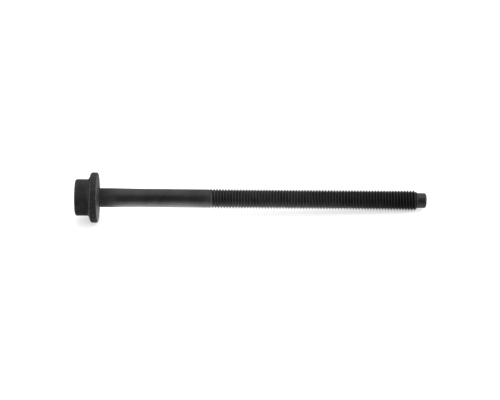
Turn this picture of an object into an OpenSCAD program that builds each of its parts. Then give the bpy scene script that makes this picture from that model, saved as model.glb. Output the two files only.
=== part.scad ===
// Cylinder head bolt: round flanged head with an inside twelve point drive, plain shank,
// long coarse thread and a plain point. The bolt lies along X with its head towards -X,
// and the origin is the centre of the bearing face under the head.

/* [Bolt] */
// Length from the bearing face to the end of the point
bolt_l = 195.5; // [160:0.5:240]

/* [Head] */
// Diameter of the round head
head_d = 21.8; // [20:0.1:25]
// Height of the whole head above the bearing face
head_h = 13.6; // [12:0.1:18]
// Radius of the rounded edge round the head's end
head_edge_r = 1.2; // [0.4:0.1:2]

/* [Flange] */
// Diameter of the flange
flange_d = 30; // [28:0.1:36]
// Thickness of the flange at its rim
rim_h = 4.6; // [3.4:0.1:6]
// Radius of the rim's rounded edge on the bearing side
rim_edge_r = 1.2; // [0.2:0.1:1.6]
// Radius of the rim's rounded edge on the cone side
rim_top_r = 1.3; // [0.2:0.1:1.6]
// Slope of the flange's cone, in degrees from the bearing face
cone_slope = 19; // [10:1:35]
// Radius of the hollow between the cone and the head
neck_r = 1.4; // [0.5:0.1:2]

/* [Drive socket] */
// Diameter across the twelve points
drive_d = 12; // [10:0.1:13]
// Side of each of the three squares that make the twelve points
drive_square = 8.8; // [8.6:0.1:9]
// Depth of the straight walls
drive_depth = 8; // [5:0.5:9]
// Width of the chamfer round the mouth
drive_chamfer = 0.8; // [0.3:0.1:1.2]
// Slope of the socket's conical floor, in degrees
floor_slope = 20; // [0:5:30]

/* [Shank] */
// Diameter of the plain shank
shank_d = 11; // [10.2:0.1:11.3]
// Diameter of the thicker shoulder under the head
shoulder_d = 11.4; // [11.1:0.1:11.8]
// Length of the shoulder from the bearing face
shoulder_l = 9; // [4:1:15]
// Length of the taper from the shoulder down to the shank
shoulder_taper_l = 14; // [1:1:15]
// Radius of the fillet under the head
fillet_r = 1; // [0.4:0.1:2]

/* [Thread] */
// Diameter over the thread's crests
thread_d = 12; // [12:0.1:14]
// Distance from one crest to the next
thread_pitch = 1.75; // [1.25:0.25:2]
// Distance from the bearing face to the start of the thread
thread_start = 67.5; // [32:0.5:120]
// Length over which the thread rises out of the shank to its full depth
runout_l = 5.5; // [2:0.5:10]

/* [Point] */
// Diameter of the plain point
point_d = 9; // [7:0.1:9.6]
// Length of the plain point
point_l = 5.4; // [3:0.1:12]
// Radius of the point's rounded end
point_edge_r = 1.3; // [0.3:0.1:2]

/* [Hidden] */
$fn = 96;
black_steel = [0.17, 0.17, 0.175];
arc_steps = 6;
cut_over = 1;

head_r = head_d / 2;
flange_r = flange_d / 2;
shank_r = shank_d / 2;
shoulder_r = shoulder_d / 2;
crest_r = thread_d / 2;
point_r = point_d / 2;

// Sixty degree thread: depth, crest flat and flank width all follow the pitch
thread_depth = 17 / 24 * thread_pitch * sqrt(3) / 2;
root_r = crest_r - thread_depth;
crest_w = thread_pitch / 8;
flank_w = thread_depth * tan(30);
thread_end = bolt_l - point_l;
ridge_count = floor((thread_end - thread_start) / thread_pitch);

// Centre of the hollow that runs from the flange's cone into the head
cone_turn = 1 - sin(cone_slope);
cone_run = (flange_r - head_r - (neck_r + rim_top_r) * cone_turn) / cos(cone_slope);
neck_y = rim_top_r - rim_h - cone_run * sin(cone_slope) - (neck_r + rim_top_r) * cos(cone_slope);
neck_centre = [head_r + neck_r, neck_y];

// Points of an arc in the turned outline, from one angle to another
function arc(centre, r, from, to) =
    [for (i = [0:arc_steps]) let (a = from + (to - from) * i / arc_steps)
        centre + r * [cos(a), sin(a)]];

// Radius at distance y along the thread, where the fully formed thread has full_r:
// it rises out of the shank at the start and is cut off by the bevel before the point
function thread_r(full_r, y) =
    let (rise = min(1, (y - thread_start) / runout_l))
    min(shank_r + (full_r - shank_r) * rise, point_r + thread_end - y);

// One ridge of the thread: root, flank, crest and flank
function ridge(i) = [
    for (corner = [[root_r, 0], [crest_r, flank_w], [crest_r, flank_w + crest_w], [root_r, 2 * flank_w + crest_w]])
        let (y = thread_start + i * thread_pitch + corner.y)
        [thread_r(corner.x, y), y]
];

// Outline from the head's end to the point: distance from the axis, then distance along it
function head_outline() = concat(
    [[0, -head_h]],
    arc([head_r - head_edge_r, head_edge_r - head_h], head_edge_r, -90, 0),
    arc(neck_centre, neck_r, 180, 90 + cone_slope),
    arc([flange_r - rim_top_r, rim_top_r - rim_h], rim_top_r, cone_slope - 90, 0),
    arc([flange_r - rim_edge_r, -rim_edge_r], rim_edge_r, 0, 90),
    arc([shoulder_r + fillet_r, fillet_r], fillet_r, -90, -180),
    [[shoulder_r, shoulder_l], [shank_r, shoulder_l + shoulder_taper_l]]
);

function thread_outline() = [for (i = [0:ridge_count - 1]) each ridge(i)];

function point_outline() = concat(
    [[min(root_r, point_r), thread_end]],
    arc([point_r - point_edge_r, bolt_l - point_edge_r], point_edge_r, 0, 90),
    [[0, bolt_l]]
);

// The whole bolt but for its socket, turned about its axis, which stands along Z here
module turned_blank() {
    rotate_extrude() polygon(concat(head_outline(), thread_outline(), point_outline()));
}

// Twelve points made by three squares, with their tips rounded off by a circle
module twelve_points() {
    intersection() {
        circle(d = drive_d);
        union() for (turn = [0:30:60]) rotate(turn) square(drive_square, center = true);
    }
}

// Space cut out of the head: straight walls, chamfered mouth and conical floor
module drive_socket() {
    floor_h = drive_d / 2 * tan(floor_slope);
    translate([0, 0, -head_h]) {
        intersection() {
            translate([0, 0, -cut_over]) linear_extrude(drive_depth + floor_h + cut_over) twelve_points();
            union() {
                translate([0, 0, -cut_over]) cylinder(h = drive_depth + cut_over, d = drive_d + cut_over);
                translate([0, 0, drive_depth]) cylinder(h = floor_h, r1 = drive_d / 2, r2 = 0);
            }
        }
        translate([0, 0, -cut_over])
            cylinder(
                h = drive_chamfer + cut_over,
                r1 = drive_d / 2 + drive_chamfer / 2 + cut_over,
                r2 = drive_d / 2 - drive_chamfer / 2
            );
    }
}

// Laid along X
module head_bolt() {
    color(black_steel) rotate([0, 90, 0]) difference() {
        turned_blank();
        drive_socket();
    }
}

head_bolt();
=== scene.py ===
import math

import bmesh
import bpy
import numpy as np
from mathutils import Matrix, Vector


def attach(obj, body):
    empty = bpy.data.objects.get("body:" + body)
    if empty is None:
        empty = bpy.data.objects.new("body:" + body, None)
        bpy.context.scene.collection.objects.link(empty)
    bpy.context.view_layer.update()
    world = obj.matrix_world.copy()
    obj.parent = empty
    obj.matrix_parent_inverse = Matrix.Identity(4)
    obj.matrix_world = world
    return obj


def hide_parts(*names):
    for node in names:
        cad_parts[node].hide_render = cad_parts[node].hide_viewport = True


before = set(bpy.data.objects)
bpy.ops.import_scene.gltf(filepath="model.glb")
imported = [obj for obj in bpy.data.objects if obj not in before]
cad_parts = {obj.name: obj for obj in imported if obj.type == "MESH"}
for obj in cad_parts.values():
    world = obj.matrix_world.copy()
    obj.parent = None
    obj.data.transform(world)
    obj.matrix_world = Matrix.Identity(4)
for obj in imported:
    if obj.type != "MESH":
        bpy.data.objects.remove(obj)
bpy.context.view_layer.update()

# Sizes in metres, as in the part's source. X runs along the bolt, from the bearing face to the point.
MM = 0.001
BOLT_L = 195.5 * MM
HEAD_R, HEAD_H, HEAD_EDGE_R = 10.9 * MM, 13.6 * MM, 1.2 * MM
FLANGE_R, RIM_H, RIM_EDGE_R, RIM_TOP_R = 15 * MM, 4.6 * MM, 1.2 * MM, 1.3 * MM
CONE_SLOPE, NECK_R = math.radians(19), 1.4 * MM
DRIVE_R, DRIVE_SQUARE, DRIVE_DEPTH = 6 * MM, 8.8 * MM, 8 * MM
DRIVE_CHAMFER, FLOOR_SLOPE = 0.8 * MM, math.radians(20)
SHANK_R, FILLET_R = 5.5 * MM, 1 * MM
SHOULDER_R, SHOULDER_L, SHOULDER_TAPER_L = 5.7 * MM, 9 * MM, 14 * MM
CREST_R, PITCH, THREAD_START, RUNOUT_L = 6 * MM, 1.75 * MM, 65 * MM, 3.5 * MM
POINT_R, POINT_L, POINT_EDGE_R = 4.5 * MM, 5.4 * MM, 1.3 * MM
THREAD_END = BOLT_L - POINT_L

# Sixty degree thread
SHARP_H = PITCH * math.sqrt(3) / 2
ROOT_R = CREST_R - SHARP_H * 17 / 24
TURN_STEPS = 96
# Where in a turn the thread starts under the bolt
THREAD_TURN = 0.27
SHARP_ANGLE = math.radians(32)


def arc(cx, cr, r, start, end, steps):
    """Points (x, radius) of an arc in the turned outline; angles in degrees, 0 outward and 90 towards the point."""
    angles = [math.radians(start + (end - start) * i / steps) for i in range(steps + 1)]
    return [(cx + r * math.sin(a), cr + r * math.cos(a)) for a in angles]


def head_outline():
    """The turned outline from the socket's mouth to where the thread fades in, as (x, radius) pairs."""
    rounds = NECK_R + RIM_TOP_R
    cone_run = (FLANGE_R - HEAD_R - rounds * (1 - math.sin(CONE_SLOPE))) / math.cos(CONE_SLOPE)
    neck_x = RIM_TOP_R - RIM_H - cone_run * math.sin(CONE_SLOPE) - rounds * math.cos(CONE_SLOPE)
    slope = math.degrees(CONE_SLOPE)
    return [
        *arc(HEAD_EDGE_R - HEAD_H, HEAD_R - HEAD_EDGE_R, HEAD_EDGE_R, -90, 0, 10),
        *arc(neck_x, HEAD_R + NECK_R, NECK_R, 180, 90 + slope, 10),
        *arc(RIM_TOP_R - RIM_H, FLANGE_R - RIM_TOP_R, RIM_TOP_R, slope - 90, 0, 8),
        *arc(-RIM_EDGE_R, FLANGE_R - RIM_EDGE_R, RIM_EDGE_R, 0, 90, 8),
        *arc(FILLET_R, SHOULDER_R + FILLET_R, FILLET_R, 270, 180, 8),
        (SHOULDER_L, SHOULDER_R),
        (SHOULDER_L + SHOULDER_TAPER_L, SHANK_R),
        (THREAD_START, SHANK_R),
    ]


def spin(bm, outline):
    """Rings of vertices for an outline turned about X, joined by quads. Returns the rings."""
    rings = []
    for x, r in outline:
        turn = [2 * math.pi * i / TURN_STEPS for i in range(TURN_STEPS)]
        rings.append([bm.verts.new((x, -r * math.sin(a), -r * math.cos(a))) for a in turn])
    for low, high in zip(rings, rings[1:]):
        for i in range(TURN_STEPS):
            j = (i + 1) % TURN_STEPS
            bm.faces.new((low[i], high[i], high[j], low[j]))
    return rings


def finish_mesh(bm, name, sharp_angle=SHARP_ANGLE):
    """Welds, recalculates normals and turns a bmesh into an object with sharp edges marked."""
    bmesh.ops.remove_doubles(bm, verts=bm.verts, dist=1e-7)
    bmesh.ops.dissolve_degenerate(bm, edges=bm.edges, dist=1e-8)
    bmesh.ops.recalc_face_normals(bm, faces=bm.faces)
    for f in bm.faces:
        f.smooth = True
    for e in bm.edges:
        e.smooth = not (len(e.link_faces) == 2 and e.calc_face_angle(0) > sharp_angle)
    mesh = bpy.data.meshes.new(name)
    bm.to_mesh(mesh)
    bm.free()
    obj = bpy.data.objects.new(name, mesh)
    bpy.context.scene.collection.objects.link(obj)
    return obj


def socket_cutter():
    """The twelve point socket with its chamfered mouth and conical floor, as a solid to cut out of the head."""
    half = DRIVE_SQUARE / 2
    steps = 360

    def wall_r(a):
        # Distance to the union of three squares, cut off by the circle over the points
        reach = max(half / max(abs(math.cos(a - t)), abs(math.sin(a - t))) for t in (0, math.pi / 6, math.pi / 3))
        return min(reach, DRIVE_R)

    bm = bmesh.new()
    mouth_x = -HEAD_H
    depth_x = mouth_x + DRIVE_DEPTH
    rows = []
    for x, chamfer_r in (
        (mouth_x - 1 * MM, DRIVE_R + DRIVE_CHAMFER / 2 + 1 * MM),
        (mouth_x, DRIVE_R + DRIVE_CHAMFER / 2),
        (mouth_x + DRIVE_CHAMFER / 2, DRIVE_R),
        (mouth_x + DRIVE_CHAMFER, DRIVE_R - DRIVE_CHAMFER / 2),
        (mouth_x + DRIVE_CHAMFER * 2, 0),
        (depth_x, 0),
    ):
        ring = []
        for i in range(steps):
            a = 2 * math.pi * i / steps
            r = max(wall_r(a), chamfer_r)
            ring.append(bm.verts.new((x, -r * math.sin(a), -r * math.cos(a))))
        rows.append(ring)
    for low, high in zip(rows, rows[1:]):
        for i in range(steps):
            j = (i + 1) % steps
            bm.faces.new((low[i], high[i], high[j], low[j]))
    bm.faces.new(rows[0])
    tip = bm.verts.new((depth_x + DRIVE_R * math.tan(FLOOR_SLOPE), 0, 0))
    for i in range(steps):
        bm.faces.new((rows[-1][i], tip, rows[-1][(i + 1) % steps]))
    return finish_mesh(bm, "cutter")


def head_piece():
    """Head, flange and shank with the socket cut out; open towards the thread."""
    bm = bmesh.new()
    rings = spin(bm, head_outline())
    bm.faces.new(list(reversed(rings[0])))
    bm.faces.new(rings[-1])
    head = finish_mesh(bm, "head")
    cutter = socket_cutter()
    cut = head.modifiers.new("socket", "BOOLEAN")
    cut.object = cutter
    cut.operation = "DIFFERENCE"
    cut.solver = "EXACT"
    depsgraph = bpy.context.evaluated_depsgraph_get()
    mesh = bpy.data.meshes.new_from_object(head.evaluated_get(depsgraph))
    bm = bmesh.new()
    bm.from_mesh(mesh)
    end = [f for f in bm.faces if f.normal.x > 0.99 and abs(f.calc_center_median().x - THREAD_START) < 1e-5]
    bmesh.ops.delete(bm, geom=end, context="FACES_ONLY")
    for old in (head, cutter):
        bpy.data.objects.remove(old, do_unlink=True)
    return bm


def thread_section():
    """One pitch of the rolled thread as (distance, radius) pairs, from one root's middle to the next."""
    root_round = SHARP_H / 6
    crest_flat = PITCH / 8
    ease = 0.035 * MM
    side = root_round * math.cos(math.pi / 6)
    half = [
        (0, ROOT_R),
        (root_round * 0.5, ROOT_R + root_round * (1 - math.cos(math.pi / 6))),
        (side, ROOT_R + root_round / 2),
        (PITCH / 2 - crest_flat / 2 - ease * 0.6, CREST_R - ease * 1.2),
        (PITCH / 2 - crest_flat / 2 + ease, CREST_R),
    ]
    other = [(PITCH - x, r) for x, r in reversed(half[1:])]
    return half + other


def add_thread(bm):
    """The helical thread, faded in from the shank and bevelled down to the point."""
    section = thread_section()
    rows_per_turn = len(section)
    first_turn = -2
    turns = math.ceil((THREAD_END - THREAD_START) / PITCH) + 2
    rows = []
    for turn in range(first_turn, turns):
        for place, full_r in section:
            row = []
            for i in range(TURN_STEPS):
                x = THREAD_START + (turn + THREAD_TURN + i / TURN_STEPS) * PITCH + place
                x = min(max(x, THREAD_START), THREAD_END)
                rise = min(1, (x - THREAD_START) / RUNOUT_L)
                r = SHANK_R + (full_r - SHANK_R) * rise
                r = min(r, POINT_R + THREAD_END - x)
                a = 2 * math.pi * i / TURN_STEPS
                row.append(bm.verts.new((x, r * math.sin(a), -r * math.cos(a))))
            rows.append(row)
    for m in range(len(rows) - 1):
        for i in range(TURN_STEPS):
            if i < TURN_STEPS - 1:
                corners = (rows[m][i], rows[m][i + 1], rows[m + 1][i + 1], rows[m + 1][i])
            elif m + 1 + rows_per_turn < len(rows):
                corners = (rows[m][i], rows[m + rows_per_turn][0], rows[m + 1 + rows_per_turn][0], rows[m + 1][i])
            else:
                continue
            bm.faces.new(corners)


def bolt():
    """The whole bolt as one mesh."""
    bm = head_piece()
    add_thread(bm)
    rings = spin(bm, [(THREAD_END, POINT_R), *arc(BOLT_L - POINT_EDGE_R, POINT_R - POINT_EDGE_R, POINT_EDGE_R, 0, 90, 8)])
    bm.faces.new(rings[-1])
    return finish_mesh(bm, "bolt")


class Nodes:
    """Adds shader nodes to a tree. A value for a socket may be a number, a colour or another node's output."""

    def __init__(self, tree):
        self.tree = tree
        tree.nodes.clear()

    def add(self, kind, sockets=(), **settings):
        node = self.tree.nodes.new(kind)
        for name, value in settings.items():
            setattr(node, name, value)
        for name, value in dict(sockets).items():
            if isinstance(value, bpy.types.NodeSocket):
                self.tree.links.new(value, node.inputs[name])
            else:
                node.inputs[name].default_value = value
        return node

    def math(self, operation, a, b=0.0, clamp=False):
        return self.add("ShaderNodeMath", {0: a, 1: b}, operation=operation, use_clamp=clamp).outputs[0]

    def band(self, value, low, high, to_low=0.0, to_high=1.0):
        """value between low and high becomes to_low to to_high, smoothly, and stays there outside."""
        sockets = {"Value": value, "From Min": low, "From Max": high, "To Min": to_low, "To Max": to_high}
        return self.add("ShaderNodeMapRange", sockets, interpolation_type="SMOOTHSTEP").outputs["Result"]

    def noise(self, vector, scale, detail=4.0, roughness=0.55):
        sockets = {"Vector": vector, "Scale": scale, "Detail": detail, "Roughness": roughness}
        return self.add("ShaderNodeTexNoise", sockets).outputs["Fac"]

    def ramp(self, value, stops):
        node = self.add("ShaderNodeValToRGB", {"Fac": value})
        points = node.color_ramp.elements
        while len(points) < len(stops):
            points.new(0.5)
        for point, (place, colour) in zip(points, stops):
            point.position = place
            point.color = (*colour, 1) if isinstance(colour, tuple) else (colour, colour, colour, 1)
        return node.outputs["Color"]

    def mix(self, share, a, b):
        node = self.add("ShaderNodeMix", {"Factor": share}, data_type="RGBA")
        for socket, value in ((node.inputs[6], a), (node.inputs[7], b)):
            if isinstance(value, bpy.types.NodeSocket):
                self.tree.links.new(value, socket)
            else:
                socket.default_value = (*value, 1)
        return node.outputs[2]


def black_steel():
    """Oiled black phosphate on steel: a mottled dark coat with fine grain, turning marks and rubbed crests and edges."""
    material = bpy.data.materials.new("black_steel")
    material.use_nodes = True
    n = Nodes(material.node_tree)
    place = n.add("ShaderNodeTexCoord").outputs["Object"]
    xyz = n.add("ShaderNodeSeparateXYZ", {"Vector": place})
    x, y, z = xyz.outputs
    radius = n.math("SQRT", n.math("ADD", n.math("MULTIPLY", y, y), n.math("MULTIPLY", z, z)))

    # Soft blotches of the coat, cloudy stains and the fine grain of its crystals
    blotches = n.noise(place, 130, detail=5)
    stains = n.noise(place, 620, detail=3)
    grain = n.noise(place, 5200, detail=2, roughness=0.7)

    # Crests of the thread and outer edges are rubbed a little bare and carry a painted highlight; painted shade darkens
    # the grooves between the crests
    on_thread = n.math("MULTIPLY", n.band(x, THREAD_START, THREAD_START + 4 * MM), n.band(x, THREAD_END - 1 * MM, THREAD_END, 1, 0))
    crest = n.math("MULTIPLY", on_thread, n.band(radius, CREST_R - 0.09 * MM, CREST_R - 0.01 * MM))
    # Painted shade in the thread's grooves
    groove_shade = n.math("MULTIPLY", on_thread, n.band(radius, CREST_R - 0.4 * MM, CREST_R - 0.07 * MM, 1, 0))
    edges = n.band(n.add("ShaderNodeNewGeometry").outputs["Pointiness"], 0.52, 0.62)
    edges = n.math("MULTIPLY", edges, n.math("SUBTRACT", 1, on_thread))
    # Rubbed crests and edges, lightened partly as wear and partly as a painted highlight
    rub_and_highlight = n.math("MAXIMUM", n.math("MULTIPLY", crest, n.band(x, THREAD_START, THREAD_END, 1, 0.5)), edges)
    rub_and_highlight = n.math("MULTIPLY", rub_and_highlight, n.band(stains, 0.35, 0.65))

    # The forged head is duller than the drawn shank, which turns duller towards the thread. The dull colour runs on
    # over the shoulder as painted shade from the flange, and the thread darkens towards the point as painted shade
    # where it rests on the table
    drawn_and_shade = n.math("MULTIPLY", n.band(x, SHOULDER_L - 5 * MM, SHOULDER_L + 5 * MM), n.band(x, 50 * MM, THREAD_START, 1, 0.6))
    # Painted shade: the thread darkens towards the point, where it lies on the table
    drawn_and_shade = n.math("MULTIPLY", drawn_and_shade, n.band(x, THREAD_START, THREAD_END, 1, 0.4))
    drawn_and_shade = n.math("MAXIMUM", drawn_and_shade, n.band(x, THREAD_END - 1 * MM, THREAD_END))
    dull = n.ramp(blotches, ((0.3, (0.048, 0.047, 0.048)), (0.5, (0.063, 0.061, 0.062)), (0.72, (0.085, 0.082, 0.082))))
    bright = n.ramp(blotches, ((0.3, (0.14, 0.135, 0.138)), (0.5, (0.175, 0.17, 0.172)), (0.72, (0.21, 0.2, 0.2))))
    coat = n.mix(drawn_and_shade, dull, bright)
    # The flange's rim is greyer than the rest of the head. Mottled painted highlights lie on the rim's back edge,
    # stronger low down, on the bearing face, stronger high up, and on the head's end
    rim = n.math("MULTIPLY", n.band(x, -RIM_H - 1 * MM, -RIM_H), n.band(x, 0, 1 * MM, 1, 0))
    coat = n.mix(n.math("MULTIPLY", rim, n.band(stains, 0.4, 0.65, 0, 0.45)), coat, (0.11, 0.108, 0.107))
    # Painted highlight along the rim's back edge, stronger low down
    back_edge_highlight = n.math("MULTIPLY", n.band(x, -RIM_H - 0.6 * MM, -RIM_H), n.band(x, -RIM_H + 0.3 * MM, -RIM_H + 0.8 * MM, 1, 0))
    back_edge_highlight = n.math("MULTIPLY", back_edge_highlight, n.band(z, 3 * MM, 6 * MM, 1, 0.2))
    # Painted highlight on the bearing face, stronger high up, mottled by the stains
    seat_highlight = n.math("MULTIPLY", n.band(x, -0.7 * MM, -0.05 * MM), n.band(x, 0.05 * MM, 0.5 * MM, 1, 0))
    seat_highlight = n.math("MULTIPLY", seat_highlight, n.band(z, 2 * MM, 10 * MM, 0.2, 0.85))
    # Painted highlight on the head's end face and its rounded edge
    end = n.band(x, -HEAD_H + 0.3 * MM, -HEAD_H + 1.6 * MM, 0.25, 0)
    # The painted highlights, broken into specks by the stains
    specked_highlights = n.math("ADD", end, back_edge_highlight)
    specked_highlights = n.math("MULTIPLY", specked_highlights, n.band(stains, 0.36, 0.64, 0.2, 0.9))
    coat = n.mix(specked_highlights, coat, (0.26, 0.256, 0.252))
    coat = n.mix(n.band(stains, 0.5, 0.75, 0, 0.4), coat, (0.15, 0.145, 0.143))
    coat = n.mix(n.math("MULTIPLY", seat_highlight, n.band(stains, 0.3, 0.6, 0.6, 1)), coat, (0.3, 0.296, 0.292))
    # Painted shade darkens the grooves, more towards the point
    coat = n.mix(n.math("MULTIPLY", groove_shade, n.band(x, THREAD_START, THREAD_END, 0.1, 0.55)), coat, (0.035, 0.0345, 0.0345))
    # Lighter rubbed crests and edges: wear with a painted highlight
    coat = n.mix(n.math("MULTIPLY", rub_and_highlight, 0.3), coat, (0.3, 0.297, 0.294))
    rough = n.math("ADD", n.band(blotches, 0.3, 0.7, 0.3, 0.42), n.band(grain, 0.3, 0.7, -0.05, 0.05))
    rough = n.math("ADD", rough, n.band(drawn_and_shade, 0, 1, 0.1, -0.04))
    rough = n.math("SUBTRACT", rough, n.math("MULTIPLY", rub_and_highlight, 0.06))

    # The thread's coat has worn thinner towards the point, so it mirrors more and looks blacker
    thin = n.math("MULTIPLY", on_thread, n.band(x, 75 * MM, 180 * MM, 0.8, 0.98))
    metal = n.math("MAXIMUM", n.band(drawn_and_shade, 0, 1, 0.75, 1), thin)

    # Fine turning marks round the axis on the head and shank, and the grain of the coat
    marks = n.noise(n.add("ShaderNodeCombineXYZ", {"X": n.math("MULTIPLY", x, 40), "Y": radius}).outputs[0], 90, detail=3)
    height = n.math("ADD", n.math("MULTIPLY", marks, 0.5), n.math("MULTIPLY", grain, 0.5))
    bump = n.add("ShaderNodeBump", {"Strength": 0.35, "Distance": 0.00004, "Height": height})
    shader = n.add(
        "ShaderNodeBsdfPrincipled",
        {"Base Color": coat, "Metallic": metal, "Roughness": rough, "Normal": bump.outputs["Normal"]},
    )
    n.add("ShaderNodeOutputMaterial", {"Surface": shader.outputs["BSDF"]})
    return material


def white_floor():
    """A big white table that touches the flange's rim and the last full crest of the thread."""
    tilt = math.atan2(FLANGE_R - CREST_R, THREAD_END - (CREST_R - POINT_R) + RIM_EDGE_R)
    bpy.ops.mesh.primitive_plane_add(size=6)
    table = bpy.context.object
    table.name = "floor"
    table.rotation_euler = (0, -tilt, 0)
    table.location = (0, 0, -FLANGE_R + RIM_EDGE_R * math.tan(tilt))

    material = bpy.data.materials.new("white_table")
    material.use_nodes = True
    n = Nodes(material.node_tree)
    rays = n.add("ShaderNodeLightPath").outputs
    mirrored = n.math("MAXIMUM", rays["Is Glossy Ray"], rays["Is Transmission Ray"])
    # In the steel the table is brightest along the middle of the bolt and dims away from it and towards its ends
    x, y, _ = n.add("ShaderNodeSeparateXYZ", {"Vector": n.add("ShaderNodeTexCoord").outputs["Object"]}).outputs
    along = n.math("MULTIPLY", n.band(x, -0.01, 0.02, 0.32, 1), n.band(x, 0.12, 0.2, 1, 0.35))
    away = n.math("ADD", 1, n.math("DIVIDE", n.math("ABSOLUTE", y), 0.009))
    dimmed = n.math("MINIMUM", n.math("MULTIPLY", along, n.math("DIVIDE", 1.5, away)), 1)
    level = n.math("ADD", n.math("MULTIPLY", mirrored, dimmed), n.math("SUBTRACT", 1, mirrored))
    glow = n.math("MULTIPLY", mirrored, dimmed)
    seen = n.math("ADD", n.math("MULTIPLY", rays["Is Camera Ray"], 0.5), glow)
    sockets = {
        "Base Color": n.mix(level, (0, 0, 0), (1, 1, 1)),
        "Roughness": 1.0,
        "Specular IOR Level": 0.0,
        "Emission Color": (1, 1, 1, 1),
        "Emission Strength": n.math("MULTIPLY", seen, level),
    }
    shader = n.add("ShaderNodeBsdfPrincipled", sockets)
    n.add("ShaderNodeOutputMaterial", {"Surface": shader.outputs["BSDF"]})
    table.data.materials.append(material)


def studio():
    """World light: an even white tent over the table, dim where the steel mirrors the photographer's side."""
    world = bpy.data.worlds.new("studio")
    bpy.context.scene.world = world
    world.use_nodes = True
    n = Nodes(world.node_tree)
    x, y, z = n.add("ShaderNodeSeparateXYZ", {"Vector": n.add("ShaderNodeTexCoord").outputs["Generated"]}).outputs
    # Height of a direction over the front horizon, from 0 there to 1 at the back horizon
    turn = n.math("DIVIDE", n.math("ARCTAN2", n.math("MAXIMUM", z, 0), n.math("MULTIPLY", y, -1)), math.pi)
    light = n.ramp(turn, ((0, 0.2), (0.08, 0.1), (0.24, 0.1), (0.37, 0.27), (0.45, 0.36), (0.65, 0.45), (1, 0.42)))
    across = n.math("SQRT", n.math("ADD", n.math("MULTIPLY", y, y), n.math("MULTIPLY", z, z)))
    light = n.mix(n.band(across, 0.2, 0.8), n.ramp(n.band(x, -1, 1), ((0, 1.6), (0.5, 0.9), (1, 0.8))), light)
    # On the table the light comes more from the point's side, so the head's shadow falls behind it
    plain = n.ramp(n.band(x, -1, 1), ((0, 0.3), (1, 1.7)))
    light = n.mix(n.add("ShaderNodeLightPath").outputs["Is Diffuse Ray"], light, plain)
    n.add("ShaderNodeOutputWorld", {"Surface": n.add("ShaderNodeBackground", {"Color": light}).outputs[0]})


def camera():
    """The photo's view: from the front and above, the head at the left and the point rising a little to the right."""
    yaw, elevation, roll = math.radians(1.523), math.radians(27), math.radians(1.228)
    back = Vector((-math.sin(yaw) * math.cos(elevation), -math.cos(yaw) * math.cos(elevation), math.sin(elevation)))
    right = Vector((math.cos(yaw), -math.sin(yaw), 0))
    turn = Matrix((right, back.cross(right), back)).transposed().to_4x4()
    data = bpy.data.cameras.new("camera")
    data.lens = 108
    data.shift_x, data.shift_y = -0.00597, -0.00204
    obj = bpy.data.objects.new("camera", data)
    obj.matrix_world = Matrix.Translation(Vector((0.092, 0, 0)) + back * 0.8942) @ turn @ Matrix.Rotation(roll, 4, "Z")
    bpy.context.scene.collection.objects.link(obj)
    bpy.context.scene.camera = obj


piece = bolt()
piece.data.materials.append(black_steel())
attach(piece, "root")
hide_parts("head_bolt")
white_floor()
studio()
camera()
bpy.context.scene.view_settings.view_transform = "Standard"
